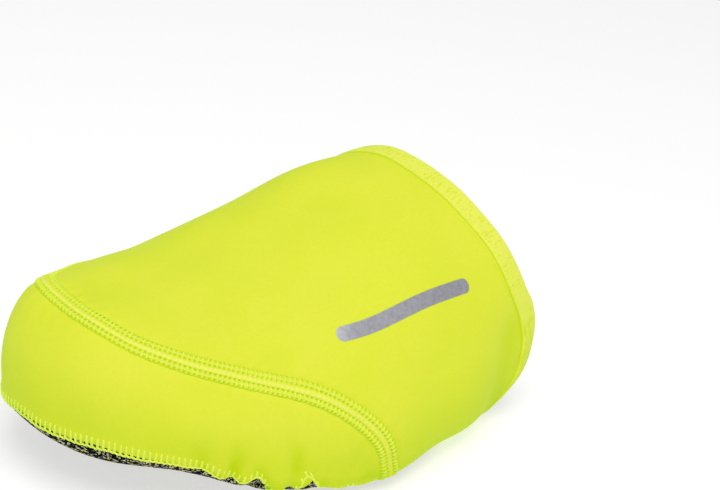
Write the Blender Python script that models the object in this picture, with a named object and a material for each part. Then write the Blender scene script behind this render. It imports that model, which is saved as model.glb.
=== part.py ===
"""Cycling toe cover for a left shoe: a stretch shell pulled over the front half of a shoe with a stiff sole.

+Z is up and the toe points to -Y, so +X is the outer (little toe) side. The origin lies on the floor, in the
middle of the flat spot ahead of the cleat opening. Every piece is cut from one skin, which is worked out from
sections of the shoe that the cover is stretched over.
"""

import math

import bmesh
import bpy
import numpy as np

# Driving dimensions, in metres
SHOE_LENGTH = 0.285
BALL_WIDTH = 0.110
INSTEP_HEIGHT = 0.080
TOE_SPRING = 0.0145
FLAT_SPOT_FROM_TOE = 0.080

WALL = 0.0020
GAP = 0.00035
SEAM_WIDTH = 0.0062
SEAM_RAISE = 0.0006
HEM_WIDTH = 0.0080
HEM_RAISE = 0.0005
HEM_DEPTH = 0.0025
OPENING_HALF_WIDTH = 0.026
OPENING_HALF_LENGTH = 0.019
OPENING_X, OPENING_FROM_TOE = -0.006, 0.107
OPENING_POWER = 2.6
CORNER_TRIM = SEAM_WIDTH / 2 + 0.0020
SEAM_TRIM = 2 * GAP

# Sections stand one tenth of the shoe's length apart, starting at the toe. Lateral, medial and ridge are
# shares of half the ball width, top is a share of the instep height, and bottom is a share of the toe spring.
# Where the bottom would reach below the floor, the floor flattens it.
SECTION_STEP = SHOE_LENGTH * 0.1018
SECTIONS = {
    "lateral": (0.735, 0.825, 0.905, 1.000, 0.967, 0.875, 0.727),
    "medial": (0.856, 0.933, 0.996, 1.000, 0.965, 0.913, 0.822),
    "top": (0.765, 0.702, 0.708, 0.808, 0.931, 0.978, 1.010),
    "bottom": (1.000, 0.850, 0.190, -0.120, -0.115, -0.085, 0.750),
    "ridge": (-0.373, -0.311, -0.267, -0.236, -0.233, -0.195, -0.147),
}
SECTION_UNITS = {
    "lateral": BALL_WIDTH / 2,
    "medial": -BALL_WIDTH / 2,
    "top": INSTEP_HEIGHT,
    "bottom": TOE_SPRING,
    "ridge": BALL_WIDTH / 2,
}

# The toe closes each outline down to the tip: over what length, and how bluntly (2 is an ellipse)
TIP = {"lateral": -0.0171, "medial": -0.0171, "ridge": -0.0171, "top": 0.0258, "bottom": 0.0258}
TOE_CAPS = {
    "lateral": (0.098, 2.14),
    "medial": (0.066, 2.39),
    "top": (0.022, 2.1),
    "bottom": (0.0186, 1.96),
    "ridge": (0.040, 2.0),
}

# A section is widest at this share of its height, and its quarters are superellipses of these powers:
# (at the toe, at the instep)
WIDEST_SHARE = (0.24, 0.30)
WIDEST_START, WIDEST_LENGTH = 0.070, 0.090
QUARTER_POWERS = {"lateral": (2.4, 1.9), "medial": (3.0, 2.4), "lower": (3.4, 3.6)}
POWER_START, POWER_LENGTH = 0.034, 0.105

# The skin bends into the plane of the floor over this height
FLOOR_BEND = 0.0008

# What stands proud of the skin fades out over this height above the floor
FADE_HEIGHT = 0.006

# Lines on the skin, as (angle round the section, distance from the toe tip). The angle is 0 on the lateral
# side, 90 on top, 180 on the medial side and 270 or -90 underneath.
TOE_SEAM = (
    (-30, 0.0925),
    (-19, 0.0917),
    (-7, 0.0903),
    (7, 0.0860),
    (20, 0.0770),
    (31, 0.0653),
    (40, 0.0480),
    (47, 0.0335),
    (58, 0.0215),
    (78, 0.0157),
    (100, 0.0162),
    (122, 0.0210),
    (134, 0.0320),
    (143, 0.0460),
    (153, 0.0600),
    (165, 0.0700),
    (180, 0.0765),
    (192, 0.0800),
    (202, 0.0808),
    (211, 0.0810),
)
SOLE_EDGE_LATERAL = (
    (-5, 0.0000),
    (-4, 0.0015),
    (-3, 0.0050),
    (-1, 0.0100),
    (-2, 0.0160),
    (-5, 0.0240),
    (-7, 0.0330),
    (-12, 0.0400),
    (-21, 0.0480),
    (-27, 0.0560),
    (-29, 0.0660),
    (-30, 0.0780),
    (-30, 0.0925),
)
SOLE_EDGE_MEDIAL = (
    (185, 0.0000),
    (184, 0.0015),
    (183, 0.0050),
    (182, 0.0100),
    (184, 0.0180),
    (190, 0.0280),
    (197, 0.0380),
    (203, 0.0480),
    (208, 0.0580),
    (210, 0.0690),
    (211, 0.0810),
)
SOLE_EDGE_REAR = (
    (-149, 0.0810),
    (-147, 0.0990),
    (-140, 0.1150),
    (-122, 0.1275),
    (-90, 0.1330),
    (-58, 0.1300),
    (-40, 0.1200),
    (-32, 0.1070),
    (-30, 0.0925),
)
REAR_EDGE = (
    (-90, 0.1470),
    (-60, 0.1485),
    (-35, 0.1510),
    (-20, 0.1555),
    (-8, 0.1615),
    (4, 0.1645),
    (16, 0.1630),
    (27, 0.1592),
    (47, 0.1545),
    (64, 0.1508),
    (88, 0.1472),
    (110, 0.1448),
    (135, 0.1430),
    (160, 0.1420),
    (180, 0.1420),
    (200, 0.1425),
    (230, 0.1450),
    (270, 0.1470),
)

# Angles at the rear edge that the upper's columns reach from the two ends of the toe seam
HEM_CORNERS = (20, 160)

# The line inside the foot from which the skin is measured
SPINE_X, SPINE_Z = -0.012, 0.028
SPINE_FRONT = 0.045
LONGEST_REACH = 0.15
HALVINGS = 36
PROBE = 1e-7
TINY = 1e-9

# Mesh detail: points along and across each piece
SEAM_COLUMNS, BAND_COLUMNS = 70, 22
UPPER_ROWS, TOE_ROWS, SOLE_ROWS, SEAM_ROWS, HEM_ROWS = 12, 9, 8, 3, 3
SOLE_CROWDING = 1.3
SHARP_ANGLE = 40
TRACE_POINTS = 600
SMOOTHING_PASSES = 60

NEON_YELLOW = (0.72, 0.82, 0.03, 1.0)
THREAD_YELLOW = (0.78, 0.86, 0.10, 1.0)
SOLE_BLACK = (0.020, 0.020, 0.022, 1.0)


def smooth_rows(values, at):
    """Values of a table between its rows, on a curve that passes through each row."""
    values = np.asarray(values, float)
    slopes = np.gradient(values, axis=0)
    at = np.clip(at, 0, len(values) - 1.000001)
    row = np.asarray(at).astype(int)
    u = (at - row).reshape(row.shape + (1,) * (values.ndim - 1))
    low, start, end = values[row], slopes[row], slopes[row + 1]
    change = values[row + 1] - low
    return low + u * (start + u * (3 * change - 2 * start - end + u * (start + end - 2 * change)))


def ease(low, high, share):
    share = np.clip(share, 0, 1)
    return low + (high - low) * share * share * (3 - 2 * share)


def section(from_toe):
    """The measures of the shoe's section at a distance from the toe tip."""
    from_toe = np.maximum(from_toe, 0)
    measures = {}
    for name, shares in SECTIONS.items():
        body = smooth_rows(shares, from_toe / SECTION_STEP) * SECTION_UNITS[name]
        length, power = TOE_CAPS[name]
        left = np.clip(1 - from_toe / length, 0, 1)
        measures[name] = TIP[name] + (body - TIP[name]) * (1 - left**power) ** (1 / power)
    share = ease(*WIDEST_SHARE, (from_toe - WIDEST_START) / WIDEST_LENGTH)
    measures["widest"] = measures["bottom"] + (measures["top"] - measures["bottom"]) * share
    for name, powers in QUARTER_POWERS.items():
        measures[name + "_power"] = ease(*powers, (from_toe - POWER_START) / POWER_LENGTH)
    return measures


def quarter(measures, right, above):
    """Half width, half height and power of the quarter of a section that a point is in."""
    side_power = np.where(right, measures["lateral_power"], measures["medial_power"])
    power = np.where(above, side_power, measures["lower_power"])
    wide = np.where(right, measures["lateral"] - measures["ridge"], measures["ridge"] - measures["medial"])
    tall = np.where(above, measures["top"] - measures["widest"], measures["widest"] - measures["bottom"])
    return wide, tall, power


def pressed(height):
    """The height of the skin once the floor has flattened what would reach below it."""
    bend = np.clip(height + FLOOR_BEND, 0, 2 * FLOOR_BEND)
    return np.maximum(height, bend**2 / (4 * FLOOR_BEND))


def released(height):
    """The height that the floor pressed to this one."""
    bend = np.clip(height, 0, FLOOR_BEND)
    return np.where(height < FLOOR_BEND, 2 * np.sqrt(FLOOR_BEND * bend) - FLOOR_BEND, height)


def on_skin(angles, from_toe):
    """Points of the skin at angles round the section, in degrees."""
    measures = section(from_toe)
    across, up = np.cos(np.radians(angles)), np.sin(np.radians(angles))
    wide, tall, power = quarter(measures, across > 0, up > 0)
    x = measures["ridge"] + wide * np.sign(across) * np.abs(across) ** (2 / power)
    z = measures["widest"] + tall * np.sign(up) * np.abs(up) ** (2 / power)
    return np.stack([x, from_toe + 0 * x, pressed(z)], -1)


def outside(points, depth=0.0):
    """Below zero inside the skin, above zero outside it. At a depth, the skin is less a wall that thick."""
    from_toe, height = points[..., 1] - depth, points[..., 2] - depth
    measures = section(from_toe)
    across, up = points[..., 0] - measures["ridge"], released(height) + depth - measures["widest"]
    wide, tall, power = quarter(measures, across > 0, up > 0)
    wide, tall = (np.maximum(measure - depth, 0) + TINY for measure in (wide, tall))
    value = (np.abs(across) / wide) ** power + (np.abs(up) / tall) ** power - 1
    return np.where((from_toe <= 0) | (height < 0), 1.0, value)


def spine_points(points):
    """The place inside the foot that each point is seen from."""
    places = np.empty_like(points)
    places[..., 0] = SPINE_X
    places[..., 1] = np.maximum(points[..., 1], SPINE_FRONT)
    places[..., 2] = SPINE_Z
    return places


def cast(places, directions, depth=0.0):
    """Where lines from inside meet the skin, or the inner face of a wall under it."""
    directions = directions / np.linalg.norm(directions, axis=-1, keepdims=True)
    near = np.zeros(directions.shape[:-1])
    far = np.full(directions.shape[:-1], LONGEST_REACH)
    for _ in range(HALVINGS):
        middle = (near + far) / 2
        within = outside(places + directions * middle[..., None], depth) < 0
        near, far = np.where(within, middle, near), np.where(within, far, middle)
    return places + directions * near[..., None]


def normals(points):
    """Unit normals of the skin, pointing out."""
    clear = points.copy()
    clear[..., 1:] = np.maximum(clear[..., 1:], 2 * PROBE)
    steps = np.eye(3) * PROBE
    slope = np.stack([outside(clear + step) - outside(clear - step) for step in steps], -1)
    on_floor = points[..., 2:3] < PROBE
    slope = np.where(on_floor, np.array([0.0, 0.0, -1.0]), slope)
    return slope / np.linalg.norm(slope, axis=-1, keepdims=True)


def evenly(line, values, at):
    """Values along a line, read at lengths from its start."""
    lengths = np.concatenate([[0], np.cumsum(np.linalg.norm(np.diff(line, axis=0), axis=1))])
    return np.stack([np.interp(at(lengths[-1]), lengths, values[:, axis]) for axis in range(3)], -1)


def trace(*tables):
    """A smooth, finely spaced line on the skin through rows of (angle, distance from the toe tip)."""
    pieces = []
    for rows in tables:
        at = smooth_rows(rows, np.linspace(0, len(rows) - 1, TRACE_POINTS))
        pieces.append(on_skin(at[:, 0], np.maximum(at[:, 1], 0)))
    line = np.concatenate(pieces)
    line = evenly(line, line, lambda length: np.linspace(0, length, TRACE_POINTS))
    for _ in range(SMOOTHING_PASSES):
        line[1:-1] += (line[:-2] + line[2:] - 2 * line[1:-1]) / 4
    places = spine_points(line)
    return cast(places, line - places)


def cut(line, count, shift=0.0, trim=0.0):
    """Evenly spaced points of a line, shifted to its left along the skin and trimmed at each end."""
    side = np.cross(normals(line), np.gradient(line, axis=0))
    side /= np.linalg.norm(side, axis=1, keepdims=True)

    def spread(length):
        return np.linspace(trim, length - trim, count)

    points, sides = evenly(line, line, spread), evenly(line, side, spread)
    places = spine_points(points)
    return cast(places, points + sides * shift - places)


def between(first, last, count, crowding=1.0):
    """Rows of points on the skin from one line to another, crowded towards the first."""
    first_places, last_places = spine_points(first), spine_points(last)
    share = np.linspace(0, 1, count)[:, None, None] ** crowding
    places = first_places + (last_places - first_places) * share
    start, end = first - first_places, last - last_places
    rows = cast(places, start + (end - start) * share)
    rows[0], rows[-1] = first, last
    return rows


def material(name, colour, roughness):
    made = bpy.data.materials.new(name)
    made.use_nodes = True
    shader = made.node_tree.nodes["Principled BSDF"]
    shader.inputs["Base Color"].default_value = colour
    shader.inputs["Roughness"].default_value = roughness
    shader.inputs["Metallic"].default_value = 0.0
    return made


def wall(name, rows, ring, finish, raise_by=0.0, depth=WALL):
    """A closed solid from rows of skin points: an outer face, raised where asked, an inner face and edges."""
    places = spine_points(rows)
    outwards = rows - places
    inner = cast(places, outwards, depth)
    outwards /= np.sum(outwards * normals(rows), axis=-1, keepdims=True)
    outer = rows + outwards * ease(0, raise_by, rows[..., 2:] / FADE_HEIGHT)
    lines, columns = rows.shape[:2]
    count = lines * columns
    points = np.concatenate([outer.reshape(-1, 3), inner.reshape(-1, 3)])
    points[:, 1] -= FLAT_SPOT_FROM_TOE

    mesh = bpy.data.meshes.new(name)
    shape = bmesh.new()
    corners = [shape.verts.new(point) for point in points]

    def face(*places):
        used = [layer * count + line * columns + column % columns for layer, line, column in places]
        shape.faces.new([corners[index] for index in used])

    spans = columns if ring else columns - 1
    for line in range(lines - 1):
        for column in range(spans):
            face((0, line, column), (0, line, column + 1), (0, line + 1, column + 1), (0, line + 1, column))
            face((1, line, column), (1, line + 1, column), (1, line + 1, column + 1), (1, line, column + 1))
    # Both sides of a joint take the same diagonals, so that they stay the same distance apart
    for column in range(spans):
        for line in (0, lines - 1):
            face((0, line, column), (0, line, column + 1), (1, line, column + 1))
            face((0, line, column), (1, line, column + 1), (1, line, column))
    if not ring:
        for line in range(lines - 1):
            for column in (0, columns - 1):
                face((0, line, column), (0, line + 1, column), (1, line + 1, column), (1, line, column))
    bmesh.ops.recalc_face_normals(shape, faces=shape.faces)
    shape.to_mesh(mesh)
    shape.free()
    mesh.materials.append(finish)
    mesh.shade_smooth()
    mesh.set_sharp_from_angle(angle=math.radians(SHARP_ANGLE))
    piece = bpy.data.objects.new(name, mesh)
    parts.objects.link(piece)
    return piece


def opening_rim(toward):
    """The cleat opening's rim, with its points in line with others, seen from its middle."""
    angles = np.arctan2(toward[:, 1] - OPENING_FROM_TOE, toward[:, 0] - OPENING_X)
    across, along = np.cos(angles), np.sin(angles)
    wide, long = np.abs(across) / OPENING_HALF_WIDTH, np.abs(along) / OPENING_HALF_LENGTH
    reach = (wide**OPENING_POWER + long**OPENING_POWER) ** (-1 / OPENING_POWER)
    rim = np.stack([OPENING_X + reach * across, OPENING_FROM_TOE + reach * along, 0 * reach], -1)
    places = spine_points(rim)
    return cast(places, rim - places)


def rear_distance(angles):
    """Distance of the rear edge from the toe tip at angles round the section."""
    rows = smooth_rows(REAR_EDGE, np.linspace(0, len(REAR_EDGE) - 1, TRACE_POINTS))
    return np.interp((angles + 90) % 360 - 90, rows[:, 0], rows[:, 1])


def rear_line(inset):
    """A line round the shoe, level with the rear edge and in step with the upper's columns."""
    start, end = HEM_CORNERS
    over, under = np.linspace(start, end, TRACE_POINTS), np.linspace(end, start + 360, TRACE_POINTS)
    over, under = (on_skin(angles, rear_distance(angles) - inset) for angles in (over, under))
    return np.concatenate([cut(over, SEAM_COLUMNS), cut(under, BAND_COLUMNS + 2)[1:-1]])


def upper(seam, sole_rear, finish):
    """The main panel: one tube from the toe seam back to the hem, closed under the arch by its band."""
    over = cut(seam, SEAM_COLUMNS, -(SEAM_WIDTH / 2 + GAP), SEAM_TRIM)
    under = cut(sole_rear, BAND_COLUMNS, -GAP / 2, CORNER_TRIM)
    rows = between(np.concatenate([over, under]), rear_line(HEM_WIDTH + GAP / 2), UPPER_ROWS)
    return wall("upper", rows, True, finish)


def rear_hem(finish):
    """The folded hem at the rear edge."""
    rows = between(rear_line(HEM_WIDTH - GAP / 2), rear_line(0), HEM_ROWS)
    return wall("rear_hem", rows, True, finish, HEM_RAISE, HEM_DEPTH)


def toe_panel(seam, sole_front, finish):
    """The panel over the toes, from the sole's edge up to the toe seam."""
    edge = cut(sole_front, SEAM_COLUMNS, -GAP / 2, CORNER_TRIM)
    top = cut(seam, SEAM_COLUMNS, SEAM_WIDTH / 2 + GAP, SEAM_TRIM)
    return wall("toe_panel", between(edge, top, TOE_ROWS), False, finish)


def toe_seam(seam, finish):
    """The flat-locked seam between the toe panel and the upper, a little proud of both."""
    front, back = (cut(seam, SEAM_COLUMNS, shift, SEAM_TRIM) for shift in (SEAM_WIDTH / 2, -SEAM_WIDTH / 2))
    return wall("toe_seam", between(front, back, SEAM_ROWS), False, finish, SEAM_RAISE)


def sole(sole_front, sole_rear, finish):
    """The hard-wearing patch under the toes, with its cleat opening."""
    ends = cut(sole_front, 2, GAP / 2)
    front = cut(sole_front, SEAM_COLUMNS, GAP / 2, CORNER_TRIM)
    rear = cut(sole_rear, BAND_COLUMNS, GAP / 2, CORNER_TRIM)
    outline = np.concatenate([front, ends[1:], rear, ends[:1]])
    return wall("sole", between(outline, opening_rim(outline), SOLE_ROWS, SOLE_CROWDING), True, finish)


def main():
    sole_front = trace(SOLE_EDGE_LATERAL[::-1], SOLE_EDGE_MEDIAL[1:])
    sole_rear = trace(SOLE_EDGE_REAR)
    seam = trace(TOE_SEAM)
    yellow = material("neon_softshell", NEON_YELLOW, 0.75)
    thread = material("seam_thread", THREAD_YELLOW, 0.6)
    black = material("sole_fabric", SOLE_BLACK, 0.85)
    upper(seam, sole_rear, yellow)
    toe_panel(seam, sole_front, yellow)
    toe_seam(seam, thread)
    rear_hem(yellow)
    sole(sole_front, sole_rear, black)


for leftover in list(bpy.data.objects):
    bpy.data.objects.remove(leftover, do_unlink=True)
parts = bpy.data.collections.new("cycling_toe_cover")
bpy.context.scene.collection.children.link(parts)
main()
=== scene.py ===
"""Looks of a stretch toe cover for a left cycling shoe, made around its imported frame.

Each cloth piece is made again from the skin that its solid is cut from, with a fine mesh, and then gets its
folds, gathers, seams and threads. Metres, +Z up, the toe points to -Y, and +X is the outer (little toe) side.
"""

import math

import bmesh
import bpy
import numpy as np
from mathutils import Matrix, Vector


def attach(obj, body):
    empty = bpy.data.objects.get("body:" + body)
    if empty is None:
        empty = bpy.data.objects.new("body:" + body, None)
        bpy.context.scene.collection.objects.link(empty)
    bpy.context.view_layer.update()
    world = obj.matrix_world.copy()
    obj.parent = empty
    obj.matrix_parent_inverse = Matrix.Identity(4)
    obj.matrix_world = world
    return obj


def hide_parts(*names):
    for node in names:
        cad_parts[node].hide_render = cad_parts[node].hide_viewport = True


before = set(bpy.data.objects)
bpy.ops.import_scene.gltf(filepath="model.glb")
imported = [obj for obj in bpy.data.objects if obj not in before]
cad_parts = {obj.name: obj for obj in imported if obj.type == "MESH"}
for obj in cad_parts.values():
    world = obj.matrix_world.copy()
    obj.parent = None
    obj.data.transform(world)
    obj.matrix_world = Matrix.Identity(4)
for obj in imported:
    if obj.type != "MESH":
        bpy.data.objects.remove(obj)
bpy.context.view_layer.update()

# Driving dimensions of the cover
SHOE_LENGTH = 0.285
BALL_WIDTH = 0.110
INSTEP_HEIGHT = 0.080
TOE_SPRING = 0.0145
FLAT_SPOT_FROM_TOE = 0.080
WALL = 0.0020
SEAM_WIDTH = 0.0062
HEM_WIDTH = 0.0080
HEM_DEPTH = 0.0025
OPENING_HALF_WIDTH = 0.026
OPENING_HALF_LENGTH = 0.019
OPENING_X, OPENING_FROM_TOE = -0.006, 0.107
OPENING_POWER = 2.6

# Sections stand one tenth of the shoe's length apart, starting at the toe. Lateral, medial and ridge are
# shares of half the ball width, top is a share of the instep height, and bottom is a share of the toe spring.
# Where the bottom would reach below the floor, the floor flattens it.
SECTION_STEP = SHOE_LENGTH * 0.1018
SECTIONS = {
    "lateral": (0.735, 0.825, 0.905, 1.000, 0.967, 0.875, 0.727),
    "medial": (0.856, 0.933, 0.996, 1.000, 0.965, 0.913, 0.822),
    "top": (0.765, 0.702, 0.708, 0.808, 0.931, 0.978, 1.010),
    "bottom": (1.000, 0.850, 0.190, -0.120, -0.115, -0.085, 0.750),
    "ridge": (-0.373, -0.311, -0.267, -0.236, -0.233, -0.195, -0.147),
}
SECTION_UNITS = {
    "lateral": BALL_WIDTH / 2,
    "medial": -BALL_WIDTH / 2,
    "top": INSTEP_HEIGHT,
    "bottom": TOE_SPRING,
    "ridge": BALL_WIDTH / 2,
}

# The toe closes each outline down to the tip: over what length, and how bluntly (2 is an ellipse)
TIP = {"lateral": -0.0171, "medial": -0.0171, "ridge": -0.0171, "top": 0.0258, "bottom": 0.0258}
TOE_CAPS = {
    "lateral": (0.098, 2.14),
    "medial": (0.066, 2.39),
    "top": (0.022, 2.1),
    "bottom": (0.0186, 1.96),
    "ridge": (0.040, 2.0),
}

# A section is widest at this share of its height, and its quarters are superellipses of these powers:
# (at the toe, at the instep)
WIDEST_SHARE = (0.24, 0.30)
WIDEST_START, WIDEST_LENGTH = 0.070, 0.090
QUARTER_POWERS = {"lateral": (2.4, 1.9), "medial": (3.0, 2.4), "lower": (3.4, 3.6)}
POWER_START, POWER_LENGTH = 0.034, 0.105
FLOOR_BEND = 0.0008
FADE_HEIGHT = 0.006

# Lines on the skin, as (angle round the section, distance from the toe tip). The angle is 0 on the lateral
# side, 90 on top, 180 on the medial side and 270 or -90 underneath.
TOE_SEAM = (
    (-30, 0.0925),
    (-19, 0.0917),
    (-7, 0.0903),
    (7, 0.0860),
    (20, 0.0770),
    (31, 0.0653),
    (40, 0.0480),
    (47, 0.0335),
    (58, 0.0215),
    (78, 0.0157),
    (100, 0.0162),
    (122, 0.0210),
    (134, 0.0320),
    (143, 0.0460),
    (153, 0.0600),
    (165, 0.0700),
    (180, 0.0765),
    (192, 0.0800),
    (202, 0.0808),
    (211, 0.0810),
)
SOLE_EDGE_LATERAL = (
    (-5, 0.0000),
    (-4, 0.0015),
    (-3, 0.0050),
    (-1, 0.0100),
    (-2, 0.0160),
    (-5, 0.0240),
    (-7, 0.0330),
    (-12, 0.0400),
    (-21, 0.0480),
    (-27, 0.0560),
    (-29, 0.0660),
    (-30, 0.0780),
    (-30, 0.0925),
)
SOLE_EDGE_MEDIAL = (
    (185, 0.0000),
    (184, 0.0015),
    (183, 0.0050),
    (182, 0.0100),
    (184, 0.0180),
    (190, 0.0280),
    (197, 0.0380),
    (203, 0.0480),
    (208, 0.0580),
    (210, 0.0690),
    (211, 0.0810),
)
SOLE_EDGE_REAR = (
    (-149, 0.0810),
    (-147, 0.0990),
    (-140, 0.1150),
    (-122, 0.1275),
    (-90, 0.1330),
    (-58, 0.1300),
    (-40, 0.1200),
    (-32, 0.1070),
    (-30, 0.0925),
)
REAR_EDGE = (
    (-90, 0.1470),
    (-60, 0.1485),
    (-35, 0.1510),
    (-20, 0.1555),
    (-8, 0.1615),
    (4, 0.1645),
    (16, 0.1630),
    (27, 0.1592),
    (47, 0.1545),
    (64, 0.1508),
    (88, 0.1472),
    (110, 0.1448),
    (135, 0.1430),
    (160, 0.1420),
    (180, 0.1420),
    (200, 0.1425),
    (230, 0.1450),
    (270, 0.1470),
)
HEM_CORNERS = (20, 160)

# The line inside the foot from which the skin is measured
SPINE_X, SPINE_Z = -0.012, 0.028
SPINE_FRONT = 0.045
LONGEST_REACH = 0.15
HALVINGS = 34
PROBE = 1e-7
TINY = 1e-9
TRACE_POINTS = 900
SMOOTHING_PASSES = 130

# Gathers where the panel's elastic edge draws up over the sole. Each is at a length along the sole's edge
# from the seam's lateral end, so wide and so deep, and lifts the edge by so much. It runs up the side to a
# place on the skin, opens by a share of its width on the way, and fades out there.
GATHERS = (
    # at, width, depth, lift, end angle, end from toe
    (0.0150, 0.0034, 0.0012, 0.0042, 16, 0.0780),
    (0.0220, 0.0036, 0.0018, 0.0000, 2, 0.0690),
    (0.0282, 0.0036, 0.0012, 0.0122, 4, 0.0630),
    (0.0340, 0.0030, 0.0020, 0.0000, 14, 0.0600),
    (0.0422, 0.0021, 0.0026, 0.0000, 2, 0.0510),
    (0.0465, 0.0034, 0.0012, 0.0056, 13, 0.0485),
    (0.0540, 0.0026, 0.0016, 0.0008, 14, 0.0430),
    (0.0640, 0.0030, 0.0006, 0.0000, 14, 0.0340),
    (0.1700, 0.0040, 0.0009, 0.0024, 172, 0.0400),
    (0.1830, 0.0034, 0.0012, 0.0046, 170, 0.0520),
    (0.2010, 0.0042, 0.0009, 0.0030, 172, 0.0680),
)
GATHER_WIDTH, GATHER_OPENING, GATHER_FADE = 0.8, 0.7, 1.5

# On both sides of a gather the edge sags by a share of its lift, and the cloth swells by a share of its
# depth, at so many widths from its middle
SAG_SHARE, SAG_AT = 0.12, 2.2
BULGE_SHARE, BULGE_AT = 0.35, 2.0

# Where the panel's edge reaches a little further under the toe
TUCKED_UNDER = ((0.1420, 0.0160, 0.0022),)

# The seam wanders a little from its line at one place
SEAM_DRIFT, DRIFT_AT, DRIFT_LENGTH = -0.0009, 0.108, 0.024

# Soft folds in the cloth, from one place on the skin to another, so wide and so high. Below zero is a hollow.
FOLDS = (
    # angle, from toe, end angle, from toe, width, height
    (14, 0.1500, -8, 0.1430, 0.0080, -0.0010),
    (30, 0.1450, 4, 0.1250, 0.0110, 0.0005),
    (118, 0.0500, 96, 0.0440, 0.0090, 0.0006),
    (9, 0.0480, -4, 0.0470, 0.0030, -0.0005),
    (12, 0.0580, -4, 0.0620, 0.0034, -0.0005),
    (14, 0.0790, -6, 0.0830, 0.0040, -0.0007),
    (6, 0.0720, -10, 0.0730, 0.0034, 0.0004),
    (160, 0.1300, 190, 0.1180, 0.0090, -0.0008),
    (78, 0.1500, 34, 0.1560, 0.0100, 0.0007),
    (104, 0.1240, 98, 0.1400, 0.0090, 0.0006),
)

# Waves that make the cloth slightly uneven: how high, how many, and how long at least and at most
UNEVENNESS, WAVES, WAVE_LENGTHS = 0.00010, 14, (0.016, 0.05)

# How strongly painted shade darkens a hollow, from which depth and over how much depth, and how strongly
# painted shade darkens where the cloth faces the ground, from which height of its normal and over how much of
# it
HOLLOW_SHADE, HOLLOW_FROM, HOLLOW_OVER = 0.45, 0.0004, 0.001
UNDER_SHADE, UNDER_FROM, UNDER_OVER = 0.8, 0.45, 0.9

# Rows of points over each edge of a cloth wall: share of the wall's thickness, share of the rim's bulge
RIM_ROWS = ((0.15, 0.6), (0.5, 1.0), (0.85, 0.6))

# Places along one rung of thread, from 0 to 1, how many points a stitch gets, and how far rungs stray
RUNG = np.linspace(0, 1, 9)
POINTS_A_STITCH = 8
RUNG_LEAN = 0.00006

# Columns of points along the toe seam and under the arch. The panels stop short of the sole's corners, and
# reach a little way under the seam and the hem.
SEAM_COLUMNS, BAND_COLUMNS = 400, 110
CORNER_TRIM = SEAM_WIDTH / 2 + 0.0008
TUCK, SEAM_TRIM = 0.0004, 0.0002

# The flat-locked seam: its band and ridges, then the stitches. Each row of needle holes has its distance from
# the middle, and where in a stitch it starts.
BAND_WIDTH, BAND_HEIGHT, RIDGE_HEIGHT, LINE_HEIGHT = 0.0066, 0.00030, 0.00034, 0.00012
STITCH = 0.00150
NEEDLE_ROWS = ((0.00128, 0.0), (0.00288, 0.1), (-0.00128, 0.5), (-0.00288, 0.6))
HOLE_RADIUS, HOLE_DEPTH = 0.00042, 0.00040
THREAD_RADIUS, THREAD_HEIGHT, THREAD_SUNK = 0.00036, 0.00006, 0.0003

# Where a seam draws the cloth in: how deep and how wide, and the ripples beside it
DRAWN_IN, DRAWN_WIDTH = 0.00030, 0.0016
RIPPLE_HEIGHT, RIPPLE_LENGTH = 0.00008, 0.0052

# The hem stands proud of the cloth, with a napped face
HEM_RAISE, HEM_STEP, NAP_HEIGHT = 0.00055, 0.0007, 0.00004

# The overlocked edge over the sole: its stitches, how far up they reach, and how thick the edge rolls
EDGE_STITCH, EDGE_REACH, EDGE_ROLL = 0.0017, 0.0035, 0.00022
EDGE_THREAD_RADIUS, CORD_RADIUS, CORD_HEIGHT = 0.00042, 0.00036, 0.00018

# The edge's stitches reach past it on to the sole: this far at the sides and round the toe, unevenly so
OVERHANG, OVERHANG_UNEVEN = (0.0002, 0.0010), 0.0003
TOE_START, TOE_OVER = 0.060, 0.040

# The sole's cloth reaches under the panel's edge, and is pressed down there
SOLE_UNDER, SOLE_PRESSED = 0.0010, 0.00042

# The overcast stitches round the cleat opening
OPENING_STITCHES, OPENING_REACH = 80, (0.0002, 0.0026)
OPENING_THREAD_HEIGHT, OPENING_THREAD_RADIUS = 0.00022, 0.0002

# The reflective strip's middle line on the skin, its width, and how far it stands off
REFLECTIVE_LINE = ((47, 0.0800), (44, 0.0980), (41, 0.1160), (38.5, 0.1335))
STRIP_WIDTH, STRIP_HEIGHT = 0.0050, 0.00008

# Colours of the cloth and the threads, the painted shade colour and its glow, and the painted green glow
# that the yellow cloth and thread give off
LIT_YELLOW, DEEP_YELLOW = (0.78, 0.53, 0.060), (0.73, 0.51, 0.040)
PAINTED_SHADE_YELLOW, PALE_YELLOW = (0.50, 0.44, 0.0), (0.90, 0.64, 0.19)
LIT_THREAD, DEEP_THREAD = (0.86, 0.62, 0.13), (0.76, 0.56, 0.06)
PAINTED_GREEN_GLOW, PAINTED_SHADE_GLOW = (0.0, 0.30, 0.0), (0.07, 0.28, 0.0)
NO_GLOW, WHITE, STRAW_TINT = (0.0, 0.0, 0.0), (1.0, 1.0, 1.0), (1.0, 1.0, 0.8)

# Colours of the sole's yarns, of the strip's beads, and of the linings
BLACK_YARN, GREY_YARN = (0.002, 0.002, 0.003), (0.05, 0.05, 0.052)
PALE_YARN, STRAW_YARN = (0.62, 0.62, 0.56), (0.66, 0.63, 0.22)
DARK_BEADS, LIGHT_BEADS = (0.33, 0.33, 0.36), (0.44, 0.44, 0.48)
LIGHT_LINING, DEEP_LINING = (0.60, 0.66, 0.20), (0.42, 0.50, 0.10)
LIGHT_SOLE_LINING, DEEP_SOLE_LINING = (0.05, 0.05, 0.055), (0.02, 0.02, 0.022)
LIGHT_BLACK_THREAD, DEEP_BLACK_THREAD = (0.05, 0.05, 0.052), (0.012, 0.012, 0.013)


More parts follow.
